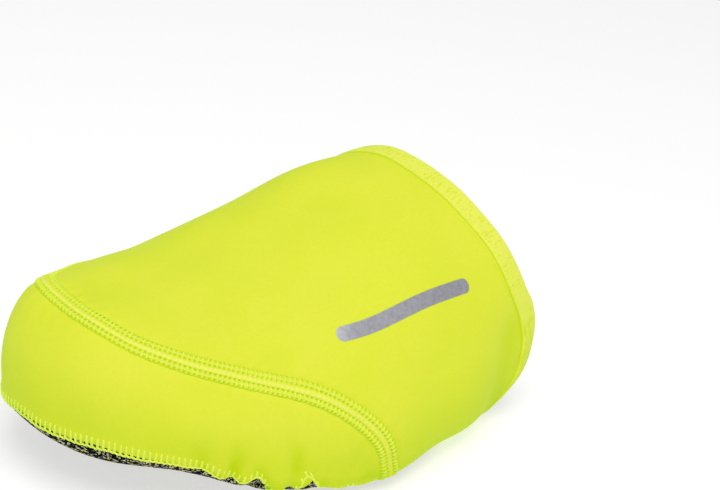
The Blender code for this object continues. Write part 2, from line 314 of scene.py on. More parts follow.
def smooth_rows(values, at):
    """Values of a table between its rows, on a curve that passes through each row."""
    values = np.asarray(values, float)
    slopes = np.gradient(values, axis=0)
    at = np.clip(at, 0, len(values) - 1.000001)
    row = np.asarray(at).astype(int)
    u = (at - row).reshape(row.shape + (1,) * (values.ndim - 1))
    low, start, end = values[row], slopes[row], slopes[row + 1]
    change = values[row + 1] - low
    return low + u * (start + u * (3 * change - 2 * start - end + u * (start + end - 2 * change)))


def ease(low, high, share):
    share = np.clip(share, 0, 1)
    return low + (high - low) * share * share * (3 - 2 * share)


def bell(distance, width):
    return np.exp(-((distance / width) ** 2))


def section(from_toe):
    """The measures of the shoe's section at a distance from the toe tip."""
    from_toe = np.maximum(from_toe, 0)
    measures = {}
    for name, shares in SECTIONS.items():
        body = smooth_rows(shares, from_toe / SECTION_STEP) * SECTION_UNITS[name]
        length, power = TOE_CAPS[name]
        left = np.clip(1 - from_toe / length, 0, 1)
        measures[name] = TIP[name] + (body - TIP[name]) * (1 - left**power) ** (1 / power)
    share = ease(*WIDEST_SHARE, (from_toe - WIDEST_START) / WIDEST_LENGTH)
    measures["widest"] = measures["bottom"] + (measures["top"] - measures["bottom"]) * share
    for name, powers in QUARTER_POWERS.items():
        measures[name + "_power"] = ease(*powers, (from_toe - POWER_START) / POWER_LENGTH)
    return measures


def quarter(measures, right, above):
    """Half width, half height and power of the quarter of a section that a point is in."""
    side_power = np.where(right, measures["lateral_power"], measures["medial_power"])
    power = np.where(above, side_power, measures["lower_power"])
    wide = np.where(right, measures["lateral"] - measures["ridge"], measures["ridge"] - measures["medial"])
    tall = np.where(above, measures["top"] - measures["widest"], measures["widest"] - measures["bottom"])
    return wide, tall, power


def pressed(height):
    """The height of the skin once the floor has flattened what would reach below it."""
    bend = np.clip(height + FLOOR_BEND, 0, 2 * FLOOR_BEND)
    return np.maximum(height, bend**2 / (4 * FLOOR_BEND))


def released(height):
    """The height that the floor pressed to this one."""
    bend = np.clip(height, 0, FLOOR_BEND)
    return np.where(height < FLOOR_BEND, 2 * np.sqrt(FLOOR_BEND * bend) - FLOOR_BEND, height)


def on_skin(angles, from_toe):
    """Points of the skin at angles round the section, in degrees."""
    measures = section(from_toe)
    across, up = np.cos(np.radians(angles)), np.sin(np.radians(angles))
    wide, tall, power = quarter(measures, across > 0, up > 0)
    x = measures["ridge"] + wide * np.sign(across) * np.abs(across) ** (2 / power)
    z = measures["widest"] + tall * np.sign(up) * np.abs(up) ** (2 / power)
    return np.stack([x, from_toe + 0 * x, pressed(z)], -1)


def outside(points, depth=0.0):
    """Below zero inside the skin, above zero outside it. At a depth, the skin is less a wall that thick."""
    from_toe, height = points[..., 1] - depth, points[..., 2] - depth
    measures = section(from_toe)
    across, up = points[..., 0] - measures["ridge"], released(height) + depth - measures["widest"]
    wide, tall, power = quarter(measures, across > 0, up > 0)
    wide, tall = (np.maximum(measure - depth, 0) + TINY for measure in (wide, tall))
    value = (np.abs(across) / wide) ** power + (np.abs(up) / tall) ** power - 1
    return np.where((from_toe <= 0) | (height < 0), 1.0, value)


def spine_points(points):
    """The place inside the foot that each point is seen from."""
    places = np.empty_like(points)
    places[..., 0] = SPINE_X
    places[..., 1] = np.maximum(points[..., 1], SPINE_FRONT)
    places[..., 2] = SPINE_Z
    return places


def cast(places, directions, depth=0.0):
    """Where lines from inside meet the skin, or the inner face of a wall under it."""
    directions = directions / np.linalg.norm(directions, axis=-1, keepdims=True)
    near = np.zeros(directions.shape[:-1])
    far = np.full(directions.shape[:-1], LONGEST_REACH)
    for _ in range(HALVINGS):
        middle = (near + far) / 2
        within = outside(places + directions * middle[..., None], depth) < 0
        near, far = np.where(within, middle, near), np.where(within, far, middle)
    return places + directions * near[..., None]


def normals(points):
    """Unit normals of the skin, pointing out."""
    clear = points.copy()
    clear[..., 1:] = np.maximum(clear[..., 1:], 2 * PROBE)
    steps = np.eye(3) * PROBE
    slope = np.stack([outside(clear + step) - outside(clear - step) for step in steps], -1)
    on_floor = points[..., 2:3] < PROBE
    slope = np.where(on_floor, np.array([0.0, 0.0, -1.0]), slope)
    return slope / np.linalg.norm(slope, axis=-1, keepdims=True)


def lengths_along(line):
    return np.concatenate([[0], np.cumsum(np.linalg.norm(np.diff(line, axis=0), axis=1))])


def evenly(line, values, at):
    """Values along a line, read at lengths from its start."""
    lengths = lengths_along(line)
    return np.stack([np.interp(at(lengths[-1]), lengths, values[:, axis]) for axis in range(3)], -1)


def trace(*tables):
    """A smooth, finely spaced line on the skin through rows of (angle, distance from the toe tip)."""
    pieces = []
    for rows in tables:
        at = smooth_rows(rows, np.linspace(0, len(rows) - 1, TRACE_POINTS))
        pieces.append(on_skin(at[:, 0], np.maximum(at[:, 1], 0)))
    line = np.concatenate(pieces)
    line = evenly(line, line, lambda length: np.linspace(0, length, TRACE_POINTS))
    for _ in range(SMOOTHING_PASSES):
        line[1:-1] += (line[:-2] + line[2:] - 2 * line[1:-1]) / 4
    places = spine_points(line)
    return cast(places, line - places)


def cut(line, count, shift=0.0, trim=0.0):
    """Evenly spaced points of a line, shifted to its left along the skin and trimmed at each end."""
    side = np.cross(normals(line), np.gradient(line, axis=0))
    side /= np.linalg.norm(side, axis=1, keepdims=True)

    def spread(length):
        return np.linspace(trim, length - trim, count)

    points, sides = evenly(line, line, spread), evenly(line, side, spread)
    places = spine_points(points)
    return cast(places, points + sides * np.reshape(shift, (-1, 1)) - places)


def between(first, last, count):
    """Rows of points on the skin from one line to another."""
    first_places, last_places = spine_points(first), spine_points(last)
    share = np.linspace(0, 1, count)[:, None, None]
    places = first_places + (last_places - first_places) * share
    start, end = first - first_places, last - last_places
    rows = cast(places, start + (end - start) * share)
    rows[0], rows[-1] = first, last
    return rows


def from_first(rows):
    """How far each point is from the first row, along its column."""
    steps = np.linalg.norm(np.diff(rows, axis=0), axis=-1)
    return np.concatenate([np.zeros((1, rows.shape[1])), np.cumsum(steps, axis=0)])


def from_last(rows):
    return from_first(rows[::-1])[::-1]


def folds(points):
    """How far the cloth's soft folds and its slight unevenness stand off the skin."""
    height = np.zeros(points.shape[:-1])
    for start_angle, start, end_angle, end, width, high in FOLDS:
        ends = on_skin(np.array([start_angle, end_angle]), np.array([start, end]))
        run = ends[1] - ends[0]
        share = np.clip((points - ends[0]) @ run / (run @ run), 0, 1)
        away = np.linalg.norm(points - ends[0] - share[..., None] * run, axis=-1)
        height += high * bell(away, width)
    random = np.random.default_rng(7)
    for _ in range(WAVES):
        wave = random.normal(size=3)
        wave *= 2 * math.pi / random.uniform(*WAVE_LENGTHS) / np.linalg.norm(wave)
        height += UNEVENNESS * np.sin(points @ wave + random.uniform(0, 2 * math.pi))
    return height


def painted_hollow_shade(height):
    """Painted shade in a hollow of the cloth, where it is turned from the light."""
    return HOLLOW_SHADE * np.clip((-height - HOLLOW_FROM) / HOLLOW_OVER, 0, 1)


def painted_underside_shade(points):
    """Painted shade where the cloth faces the ground and is turned from the light."""
    return UNDER_SHADE * ease(0, 1, (UNDER_FROM - normals(points)[..., 2]) / UNDER_OVER)


def off_floor(points):
    """A share that fades to nothing where the cloth lies on the floor."""
    return ease(0, 1, points[..., 2] / FADE_HEIGHT)


def add_mesh(name, points, faces, materials, indices=None, replaced=(), shade=None):
    """A new piece in the row's frame, from points that are measured from the toe tip.

    The shade of each point is painted shade, how much its colour is darkened: 1 in a crease or a needle
    hole, and below 0 where it is paler.
    """
    points = points.copy()
    points[:, 1] -= FLAT_SPOT_FROM_TOE
    mesh = bpy.data.meshes.new(name)
    mesh.from_pydata(points.tolist(), [], faces)
    for material in materials:
        mesh.materials.append(material)
    if indices is not None:
        mesh.polygons.foreach_set("material_index", indices)
    shape = bmesh.new()
    shape.from_mesh(mesh)
    bmesh.ops.recalc_face_normals(shape, faces=shape.faces)
    shape.to_mesh(mesh)
    shape.free()
    mesh.shade_smooth()
    if shade is not None:
        shade_values = mesh.attributes.new("shade", "FLOAT", "POINT").data
        shade_values.foreach_set("value", np.asarray(shade, np.float32))
    piece = bpy.data.objects.new(name, mesh)
    bpy.context.scene.collection.objects.link(piece)
    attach(piece, "root")
    if replaced:
        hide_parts(*replaced)
    return piece


def grid_faces(lines, columns, ring, start=0):
    """Quads of a grid of points, as lists of point numbers."""
    column = np.arange(columns if ring else columns - 1)
    line = np.arange(lines - 1)[:, None]
    low, high = start + line * columns, start + (line + 1) * columns
    following = (column + 1) % columns
    quads = np.stack(np.broadcast_arrays(low + column, low + following, high + following, high + column), -1)
    return quads.reshape(-1, 4).tolist()


def cloth(
    name, rows, ring, relief, outer, lining, slot, replaced, depth=WALL, rim=0.0005, shade=None, skip=1
):
    """A cloth wall from rows of skin points, its outer face raised by the relief, with rounded edges.

    The inner face may skip rows, because nothing fine shows there.
    """
    places = spine_points(rows)
    outwards = rows - places
    scaled = outwards / np.sum(outwards * normals(rows), axis=-1, keepdims=True)
    face = rows + scaled * relief[..., None]
    kept = np.unique(np.append(np.arange(0, len(rows), skip), len(rows) - 1))
    inner = cast(places[kept], outwards[kept], depth) + scaled[kept] * relief[kept, :, None]
    # The edges round over: the outer row is drawn in a little, and the rim bulges past both faces
    rims = []
    for edge, second in ((0, 1), (-1, -2)):
        beyond = face[edge] - face[second]
        beyond /= np.linalg.norm(beyond, axis=-1, keepdims=True)
        through = inner[edge] - face[edge]
        rims.append([face[edge] + through * share + beyond * rim * bulge for share, bulge in RIM_ROWS])
    loop = np.concatenate([face, rims[1], inner[::-1], rims[0][::-1]])
    lines, columns = loop.shape[:2]
    loop = np.concatenate([loop, loop[:1]])
    faces = grid_faces(lines + 1, columns, ring)
    count = lines * columns
    faces = [[index % count for index in quad] for quad in faces]
    spans = columns if ring else columns - 1
    indices = np.zeros((lines, spans), int)
    indices[len(rows) + 1 : -2] = 1
    if not ring:
        for column in (0, columns - 1):
            faces.append([line * columns + column for line in range(lines)])
        indices = np.append(indices, [0, 0])
    shade_values = np.zeros(loop[:-1].shape[:2])
    if shade is not None:
        shade_values[: len(rows)] = shade
    points = loop[:-1].reshape(-1, 3)
    return add_mesh(name, points, faces, [outer, lining], indices.ravel(), replaced, shade_values.ravel())


def sweep(paths, facing, radius, sides=5, flatness=1.0):
    """Points and faces of tubes along paths, flattened towards the cloth."""
    points, faces, start = [], [], 0
    angles = np.linspace(0, 2 * math.pi, sides, endpoint=False)
    for path, normal in zip(paths, facing):
        along = np.gradient(path, axis=0)
        along /= np.linalg.norm(along, axis=-1, keepdims=True)
        across = np.cross(along, normal)
        across /= np.linalg.norm(across, axis=-1, keepdims=True)
        up = np.cross(across, along)
        ring = (
            path[:, None]
            + across[:, None] * np.cos(angles)[:, None] * radius
            + up[:, None] * np.sin(angles)[:, None] * radius * flatness
        )
        points.append(ring.reshape(-1, 3))
        faces += grid_faces(len(path), sides, True, start)
        faces.append([start + side for side in range(sides)])
        faces.append([start + (len(path) - 1) * sides + side for side in range(sides)])
        start += len(path) * sides
    return np.concatenate(points), faces


def rungs(line, spots, slant, offsets, shift=None):
    """Paths of threads that cross a line at each spot, through offsets to its left, slanting along it."""
    random = np.random.default_rng(11)
    count = POINTS_A_STITCH * len(spots)
    at = np.linspace(0, lengths_along(line)[-1], count)
    lean = spots + random.normal(size=len(spots)) * RUNG_LEAN
    paths = np.empty((len(spots), len(RUNG), 3))
    for number, (offset, share) in enumerate(zip(offsets, RUNG)):
        lane = cut(line, count, offset + (0 if shift is None else shift(at)))
        for axis in range(3):
            paths[:, number, axis] = np.interp(lean + slant * share, at, lane[:, axis])
    return paths


def node_maker(material):
    tree = material.node_tree

    def add(kind, inputs=None, **settings):
        node = tree.nodes.new(kind)
        for name, value in settings.items():
            setattr(node, name, value)
        for name, value in (inputs or {}).items():
            if isinstance(value, bpy.types.NodeSocket):
                tree.links.new(value, node.inputs[name])
            else:
                node.inputs[name].default_value = value
        return node

    return add


def ramp(add, factor, *stops):
    """A colour ramp through stops of (position, colour)."""
    node = add("ShaderNodeValToRGB", {"Fac": factor})
    for _ in stops[2:]:
        node.color_ramp.elements.new(0.5)
    for element, (position, colour) in zip(node.color_ramp.elements, stops):
        element.position = position
        element.color = (*colour, 1.0)
    return node.outputs["Color"]


def mix(add, share, first, second):
    """A colour that goes from the first to the second with the share."""
    return add("ShaderNodeMix", {0: share, 6: first, 7: second}, data_type="RGBA").outputs[2]


def new_material(name, roughness, sheen=0.0, sheen_tint=WHITE, glow=0.0, glow_colour=NO_GLOW):
    """A material, its node maker and its shader."""
    material = bpy.data.materials.new(name)
    material.use_nodes = True
    shader = material.node_tree.nodes["Principled BSDF"]
    shader.inputs["Roughness"].default_value = roughness
    shader.inputs["Sheen Weight"].default_value = sheen
    shader.inputs["Sheen Roughness"].default_value = 0.45
    shader.inputs["Sheen Tint"].default_value = (*sheen_tint, 1.0)
    shader.inputs["Specular IOR Level"].default_value = 0.07
    shader.inputs["Emission Color"].default_value = (*glow_colour, 1.0)
    shader.inputs["Emission Strength"].default_value = glow
    return material, node_maker(material), shader


def softshell(name, light, deep, grain, bump):
    """Matt stretch softshell: a fine knit face in neon yellow, with a little painted green glow.

    The mesh's shade turns it towards a darker painted shade colour above 0, and towards a paler one below 0.
    """
    material, add, shader = new_material(name, 0.55, glow=1.0)
    link = material.node_tree.links.new
    place = add("ShaderNodeTexCoord").outputs["Object"]
    cloud = add("ShaderNodeTexNoise", {"Vector": place, "Scale": 38.0, "Detail": 5.0, "Roughness": 0.62})
    fibre = add("ShaderNodeTexNoise", {"Vector": place, "Scale": 900.0, "Detail": 3.0, "Roughness": 0.7})
    knit = add("ShaderNodeTexVoronoi", {"Vector": place, "Scale": grain, "Randomness": 0.55})
    both = add("ShaderNodeMath", {0: cloud.outputs["Fac"], 1: fibre.outputs["Fac"]}, operation="ADD")
    half = add("ShaderNodeMath", {0: both.outputs[0], 1: 0.5}, operation="MULTIPLY")
    colour = ramp(add, half.outputs[0], (0.36, deep), (0.64, light))
    shade = add("ShaderNodeAttribute", attribute_name="shade").outputs["Fac"]
    darker = add("ShaderNodeMath", {0: shade, 1: 1.0}, operation="MULTIPLY", use_clamp=True)
    paler = add("ShaderNodeMath", {0: shade, 1: -1.0}, operation="MULTIPLY", use_clamp=True)
    # Painted shade: above 0 the colour turns towards a darker painted shade colour, below 0 towards a paler
    # one
    painted_shade_colour = mix(add, darker.outputs[0], colour, (*PAINTED_SHADE_YELLOW, 1.0))
    worn = mix(add, paler.outputs[0], painted_shade_colour, (*PALE_YELLOW, 1.0))
    link(worn, shader.inputs["Base Color"])
    # A painted green glow over the whole cloth, turned to the painted shade's glow where shade is painted
    glow = mix(add, darker.outputs[0], (*PAINTED_GREEN_GLOW, 1.0), (*PAINTED_SHADE_GLOW, 1.0))
    link(glow, shader.inputs["Emission Color"])
    face = {0: knit.outputs["Distance"], 1: 0.6, 2: fibre.outputs["Fac"]}
    mixed = add("ShaderNodeMath", face, operation="MULTIPLY_ADD")
    height = add("ShaderNodeBump", {"Height": mixed.outputs[0], "Strength": bump, "Distance": 0.00012})
    link(height.outputs["Normal"], shader.inputs["Normal"])
    return material


def thread_material(name, light, deep, glow_colour=NO_GLOW):
    """Twisted polyester thread."""
    material, add, shader = new_material(name, 0.5, 0.15, STRAW_TINT, 1.0, glow_colour)
    place = add("ShaderNodeTexCoord").outputs["Object"]
    strands = add("ShaderNodeTexNoise", {"Vector": place, "Scale": 2200.0, "Detail": 2.0, "Roughness": 0.6})
    link = material.node_tree.links.new
    link(ramp(add, strands.outputs["Fac"], (0.3, deep), (0.7, light)), shader.inputs["Base Color"])
    height = add("ShaderNodeBump", {"Height": strands.outputs["Fac"], "Strength": 0.5, "Distance": 0.0001})
    link(height.outputs["Normal"], shader.inputs["Normal"])
    return material


def marled_black(name):
    """Coarse black woven fabric, flecked with grey and yellow yarn."""
    material, add, shader = new_material(name, 0.8)
    shader.inputs["Specular IOR Level"].default_value = 0.04
    link = material.node_tree.links.new
    place = add("ShaderNodeTexCoord").outputs["Object"]
    turned = {"Vector": place, "Scale": (1000.0, 2500.0, 2500.0), "Rotation": (0.0, 0.0, -0.25)}
    stretched = add("ShaderNodeMapping", turned)
    yarn = add("ShaderNodeTexVoronoi", {"Vector": stretched.outputs[0], "Scale": 1.0, "Randomness": 0.9})
    pick = add("ShaderNodeSeparateColor", {"Color": yarn.outputs["Color"]})
    stops = ((0.0, BLACK_YARN), (0.62, BLACK_YARN), (0.72, GREY_YARN), (0.80, PALE_YARN), (0.92, STRAW_YARN))
    link(ramp(add, pick.outputs["Red"], *stops), shader.inputs["Base Color"])
    rounded = add("ShaderNodeMath", {0: 1.0, 1: yarn.outputs["Distance"]}, operation="SUBTRACT")
    height = add("ShaderNodeBump", {"Height": rounded.outputs[0], "Strength": 0.9, "Distance": 0.0004})
    link(height.outputs["Normal"], shader.inputs["Normal"])
    return material


def fleece(name, light, deep):
    """The brushed inner face of the softshell."""
    material, add, shader = new_material(name, 0.9, 0.6, STRAW_TINT)
    link = material.node_tree.links.new
    place = add("ShaderNodeTexCoord").outputs["Object"]
    nap = add("ShaderNodeTexNoise", {"Vector": place, "Scale": 420.0, "Detail": 6.0, "Roughness": 0.75})
    link(ramp(add, nap.outputs["Fac"], (0.35, deep), (0.65, light)), shader.inputs["Base Color"])
    height = add("ShaderNodeBump", {"Height": nap.outputs["Fac"], "Strength": 0.8, "Distance": 0.0008})
    link(height.outputs["Normal"], shader.inputs["Normal"])
    return material


def glass_beads(name):
    """A grey reflective print of fine glass beads."""
    material, add, shader = new_material(name, 0.42)
    shader.inputs["Metallic"].default_value = 0.35
    link = material.node_tree.links.new
    place = add("ShaderNodeTexCoord").outputs["Object"]
    beads = add("ShaderNodeTexVoronoi", {"Vector": place, "Scale": 2600.0, "Randomness": 1.0})
    worn = add("ShaderNodeTexNoise", {"Vector": place, "Scale": 700.0, "Detail": 4.0})
    link(ramp(add, worn.outputs["Fac"], (0.3, DARK_BEADS), (0.7, LIGHT_BEADS)), shader.inputs["Base Color"])
    height = add("ShaderNodeBump", {"Height": beads.outputs["Distance"], "Strength": 0.4, "Distance": 0.0001})
    link(height.outputs["Normal"], shader.inputs["Normal"])
    return material


shell_cloth = softshell("softshell", LIT_YELLOW, DEEP_YELLOW, 1900.0, 0.35)
hem_cloth = softshell("hem_softshell", LIT_YELLOW, DEEP_YELLOW, 1200.0, 0.8)
# The yellow thread has the same painted green glow as the cloth
yellow_thread = thread_material("yellow_thread", LIT_THREAD, DEEP_THREAD, PAINTED_GREEN_GLOW)
black_thread = thread_material("black_thread", LIGHT_BLACK_THREAD, DEEP_BLACK_THREAD)
sole_cloth = marled_black("sole_cloth")
lining = fleece("lining", LIGHT_LINING, DEEP_LINING)
sole_lining = fleece("sole_lining", LIGHT_SOLE_LINING, DEEP_SOLE_LINING)

# The seam, and the edges of the sole ahead of it and behind it
straight_seam = trace(TOE_SEAM)
along_seam = np.linspace(0, lengths_along(straight_seam)[-1], TRACE_POINTS)
seam_line = cut(straight_seam, TRACE_POINTS, SEAM_DRIFT * bell(along_seam - DRIFT_AT, DRIFT_LENGTH))
sole_front = trace(SOLE_EDGE_LATERAL[::-1], SOLE_EDGE_MEDIAL[1:])
sole_rear = trace(SOLE_EDGE_REAR)


def overhang(along):
    """How far the edge's stitches reach past it on to the sole: round the toe more than at the sides."""
    ends = np.minimum(along, lengths_along(sole_front)[-1] - along)
    at_toe = (ends - TOE_START) / TOE_OVER
    uneven = OVERHANG_UNEVEN * (np.sin(along * 400) + np.sin(along * 930 + 1)) / 2
    return ease(*OVERHANG, at_toe) + uneven * ease(0, 1, at_toe)


def edge_lift(along):
    """How far the gathers lift the toe panel's edge at lengths along the sole's edge. It sags beside them."""
    lift = np.zeros_like(along)
    for at, width, _, high, _, _ in GATHERS:
        sag = SAG_SHARE * bell(np.abs(along - at) - SAG_AT * width, width)
        lift += high * (bell(along - at, width) - sag)
    for at, width, under in TUCKED_UNDER:
        lift -= under * bell(along - at, width)
    return lift


def gathered(points):
    """The hollow of each gather, and the cloth that swells on both sides of it."""
    height = np.zeros(points.shape[:-1])
    lengths = lengths_along(sole_front)
    for at, width, depth, _, angle, from_toe in GATHERS:
        start = np.array([np.interp(at, lengths, sole_front[:, axis]) for axis in range(3)])
        run = on_skin(np.array(angle), np.array(from_toe)) - start
        share = np.clip((points - start) @ run / (run @ run), 0, 1)
        away = np.linalg.norm(points - start - share[..., None] * run, axis=-1)
        opened = width * (GATHER_WIDTH + GATHER_OPENING * share)
        pull = bell(away, opened) - BULGE_SHARE * bell(away - BULGE_AT * opened, opened)
        height -= depth * pull * (1 - share) ** GATHER_FADE
    return height


def beside_seam(distance, along):
    """How the cloth dips and ripples where a seam draws it in."""
    ripple = RIPPLE_HEIGHT * np.sin(along * 2 * math.pi / RIPPLE_LENGTH + 1.3 * np.sin(along * 90))
    return -DRAWN_IN * bell(distance, DRAWN_WIDTH) + ripple * bell(distance - 0.002, 0.004)


def rolled(distance):
    """How far the panel's overlocked edge stands up at a distance from it."""
    return EDGE_ROLL * bell(distance - 0.0012, 0.0018)


def seam_profile(offset):
    """How far the flat-locked seam stands proud of the skin at a distance from its middle."""
    u = np.abs(offset) / (BAND_WIDTH / 2)
    ridges = RIDGE_HEIGHT * bell(u, 0.24) + LINE_HEIGHT * (bell(u - 0.63, 0.16) - bell(u - 0.38, 0.08))
    return BAND_HEIGHT * (1 - np.clip(u, 0, 1) ** 6) + ridges


def rear_distance(angles):
    """Distance of the rear edge from the toe tip at angles round the section."""
    rows = smooth_rows(REAR_EDGE, np.linspace(0, len(REAR_EDGE) - 1, TRACE_POINTS))
    return np.interp((angles + 90) % 360 - 90, rows[:, 0], rows[:, 1])


def rear_line(inset, finer=1):
    """A line round the shoe, level with the rear edge and in step with the upper's columns."""
    start, end = HEM_CORNERS
    over, under = np.linspace(start, end, TRACE_POINTS), np.linspace(end, start + 360, TRACE_POINTS)
    over, under = (on_skin(angles, rear_distance(angles) - inset) for angles in (over, under))
    return np.concatenate([cut(over, finer * SEAM_COLUMNS), cut(under, finer * BAND_COLUMNS + 2)[1:-1]])


def make_upper():
    over = cut(seam_line, SEAM_COLUMNS, -(SEAM_WIDTH / 2 - TUCK), SEAM_TRIM)
    under = cut(sole_rear, BAND_COLUMNS, 0.0, CORNER_TRIM)
    rows = between(np.concatenate([over, under]), rear_line(HEM_WIDTH - TUCK), 84)
    along = np.concatenate([lengths_along(over), lengths_along(under)])
    by_seam = np.arange(rows.shape[1]) < SEAM_COLUMNS
    soft = folds(rows)
    groove = bell(from_last(rows) - TUCK, 0.0008)
    relief = soft + by_seam * beside_seam(from_first(rows), along) - 0.0005 * groove
    relief *= off_floor(rows)
    # Painted shade: in hollows, where the cloth faces the ground, in the groove by the hem and beside the
    # seam
    shade = painted_hollow_shade(soft) + painted_underside_shade(rows) + 0.5 * bell(from_last(rows) - TUCK, 0.0004)
    shade += 0.2 * by_seam * bell(from_first(rows), 0.0007)
    cloth("upper_cloth", rows, True, relief, shell_cloth, lining, "softshell", ["upper"], shade=shade)


def make_toe_panel():
    length = lengths_along(sole_front)[-1]
    along = np.linspace(CORNER_TRIM, length - CORNER_TRIM, SEAM_COLUMNS)
    edge = cut(sole_front, SEAM_COLUMNS, -edge_lift(along), CORNER_TRIM)
    top = cut(seam_line, SEAM_COLUMNS, SEAM_WIDTH / 2 - TUCK, SEAM_TRIM)
    rows = between(edge, top, 66)
    pulled = gathered(rows)
    soft = folds(rows) + pulled
    relief = soft + beside_seam(from_last(rows), lengths_along(top)) + rolled(from_first(rows))
    relief *= off_floor(rows)
    # Painted shade: in hollows and gathers, where the cloth faces the ground, and beside the seam
    shade = painted_hollow_shade(soft) + painted_underside_shade(rows) + 0.2 * bell(from_last(rows), 0.0007)
    shade += 1.2 * np.clip(-pulled / 0.0014, 0, 1)
    materials = shell_cloth, lining
    cloth("toe_panel_cloth", rows, False, relief, *materials, "softshell", ["toe_panel"], shade=shade)


def stitched(along, offset):
    """How far into a needle hole of the flat-lock seam each place is, from 0 to 1."""
    inside = np.zeros(np.broadcast(along, offset).shape)
    for middle, start in NEEDLE_ROWS:
        turn = (along / STITCH + start + 0.5) % 1 - 0.5
        away = ((turn * STITCH) ** 2 + (offset - middle) ** 2) / HOLE_RADIUS**2
        inside = np.maximum(inside, np.exp(-(away**1.5)))
    return inside


def make_toe_seam():
    columns, lines = 1150, 33
    offsets = np.linspace(BAND_WIDTH / 2, -BAND_WIDTH / 2, lines)[:, None]
    rows = np.stack([cut(seam_line, columns, offset, SEAM_TRIM) for offset in offsets])
    along = lengths_along(seam_line)[-1] * np.linspace(0, 1, columns)
    holes = stitched(along, offsets)
    relief = seam_profile(offsets) + folds(rows) - HOLE_DEPTH * holes
    relief += 0.00005 * np.sin(along * math.pi / STITCH) * bell(offsets, 0.0007)
    relief *= off_floor(rows)

    # Painted shade darkens the band's edges, its needle holes and where it faces the ground, and its middle
    # ridge and the rungs' lanes are paler
    away = np.abs(offsets)
    shade = 1.1 * holes + 0.2 * bell(away - BAND_WIDTH / 2, 0.0003) + painted_underside_shade(rows)
    mottle = 0.75 + 0.25 * np.sin(along * 2 * math.pi / STITCH + 2 * np.sin(along * 300))
    shade -= 0.75 * mottle * bell(offsets, 0.0008) + 0.3 * bell(away - 0.00195, 0.0006)
    wall, rim, skip = WALL + 0.0003, 0.0001, 6
    materials = shell_cloth, lining
    cloth("toe_seam_band", rows, False, relief, *materials, "softshell", ["toe_seam"], wall, rim, shade, skip)

    # Rungs of thread cross between the two rows of holes on each side
    paths, facing = [], []
    count = int(along[-1] / STITCH) - 1
    for (first, start), (second, end) in (NEEDLE_ROWS[:2], NEEDLE_ROWS[2:]):
        spots = (np.arange(count) + 1.5 - start) * STITCH
        offsets = first * 0.86 + (second * 1.05 - first * 0.86) * RUNG
        ladder = rungs(seam_line, spots, (start - end) * STITCH, offsets)
        normal = normals(ladder)
        sunk = THREAD_SUNK * (bell(RUNG, 0.16) + bell(1 - RUNG, 0.16))
        height = seam_profile(offsets) + folds(ladder) + THREAD_HEIGHT - sunk
        paths += list(ladder + normal * (height * off_floor(ladder))[..., None])
        facing += list(normal)
    points, faces = sweep(paths, facing, THREAD_RADIUS, 6, 0.5)
    add_mesh("toe_seam_threads", points, faces, [yellow_thread])


def make_hem():
    """The hem: its band, the fold round the edge and the turned-in layer, as one closed loop."""
    fold_width = 0.0013
    insets = np.linspace(HEM_WIDTH, fold_width, 22)
    edge = rear_line(0.0, 3)
    rows = np.stack([rear_line(inset, 3) for inset in insets])
    places = spine_points(rows)
    outwards = rows - places
    inner = cast(places, outwards, HEM_DEPTH)
    outwards /= np.sum(outwards * normals(rows), axis=-1, keepdims=True)
    raised = ease(0, 1, (HEM_WIDTH - insets)[:, None] / HEM_STEP)
    nap = np.random.default_rng(5).normal(size=rows.shape[:2])
    for _ in range(3):
        nap += np.roll(nap, 1, 1) + np.roll(nap, -1, 1)
        nap[1:-1] += (nap[:-2] + nap[2:]) / 2
    nap /= nap.std()
    relief = (folds(rows) + (HEM_RAISE + NAP_HEIGHT * nap) * raised) * off_floor(rows)
    face = rows + outwards * relief[..., None]
    inner = inner + outwards * (folds(rows) * off_floor(rows))[..., None]
    top, low = face[-1], inner[-1]
    middle, half = (top + low) / 2, (top - low) / 2
    reach = edge - rows[-1]
    turns = np.linspace(0, math.pi, 11)[1:-1]
    round_edge = [middle + half * math.cos(turn) + reach * math.sin(turn) for turn in turns]
    loop = np.concatenate([face, round_edge, inner[::-1]])
    lines, columns = loop.shape[:2]
    faces = grid_faces(lines, columns, True)
    # The hem's face is paler; painted shade darkens the low places of its nap, where it faces the ground, and
    # the groove along its inner edge
    shade = np.full((lines, columns), -0.45)
    shade[: len(rows)] += 0.35 * np.clip(-nap - 0.4, 0, 2) + painted_underside_shade(rows)
    shade[0] = 0.4
    last = (lines - 1) * columns
    for column in range(columns):
        following = (column + 1) % columns
        faces.append([column, following, last + following, last + column])
    points = loop.reshape(-1, 3)
    add_mesh("rear_hem_cloth", points, faces, [hem_cloth], None, ["rear_hem"], shade.ravel())


def opening_rim(toward, grow=0.0):
    """The cleat opening's rim, with its points in line with others, seen from its middle."""
    angles = np.arctan2(toward[:, 1] - OPENING_FROM_TOE, toward[:, 0] - OPENING_X)
    across, along = np.cos(angles), np.sin(angles)
    wide, long = np.abs(across) / OPENING_HALF_WIDTH, np.abs(along) / OPENING_HALF_LENGTH
    reach = (wide**OPENING_POWER + long**OPENING_POWER) ** (-1 / OPENING_POWER) + grow
    rim = np.stack([OPENING_X + reach * across, OPENING_FROM_TOE + reach * along, 0 * reach], -1)
    places = spine_points(rim)
    return cast(places, rim - places)


def make_sole():
    length = lengths_along(sole_front)[-1]
    along = np.linspace(CORNER_TRIM, length - CORNER_TRIM, SEAM_COLUMNS)
    ends = cut(sole_front, 2)
    front = cut(sole_front, SEAM_COLUMNS, -edge_lift(along) - SOLE_UNDER, CORNER_TRIM)
    rear = cut(sole_rear, BAND_COLUMNS, -SOLE_UNDER, CORNER_TRIM)
    outline = np.concatenate([front, ends[1:], rear, ends[:1]])
    rows = between(outline, opening_rim(outline), 60)
    near_edge = from_first(rows)
    relief = (folds(rows) + gathered(rows)) * bell(near_edge, 0.02)
    relief -= SOLE_PRESSED * (1 - ease(0, 1, (near_edge - 0.0008) / 0.0012))
    relief *= off_floor(rows)
    cloth("sole_cloth", rows, True, relief, sole_cloth, sole_lining, "sole_fabric", ["sole"])


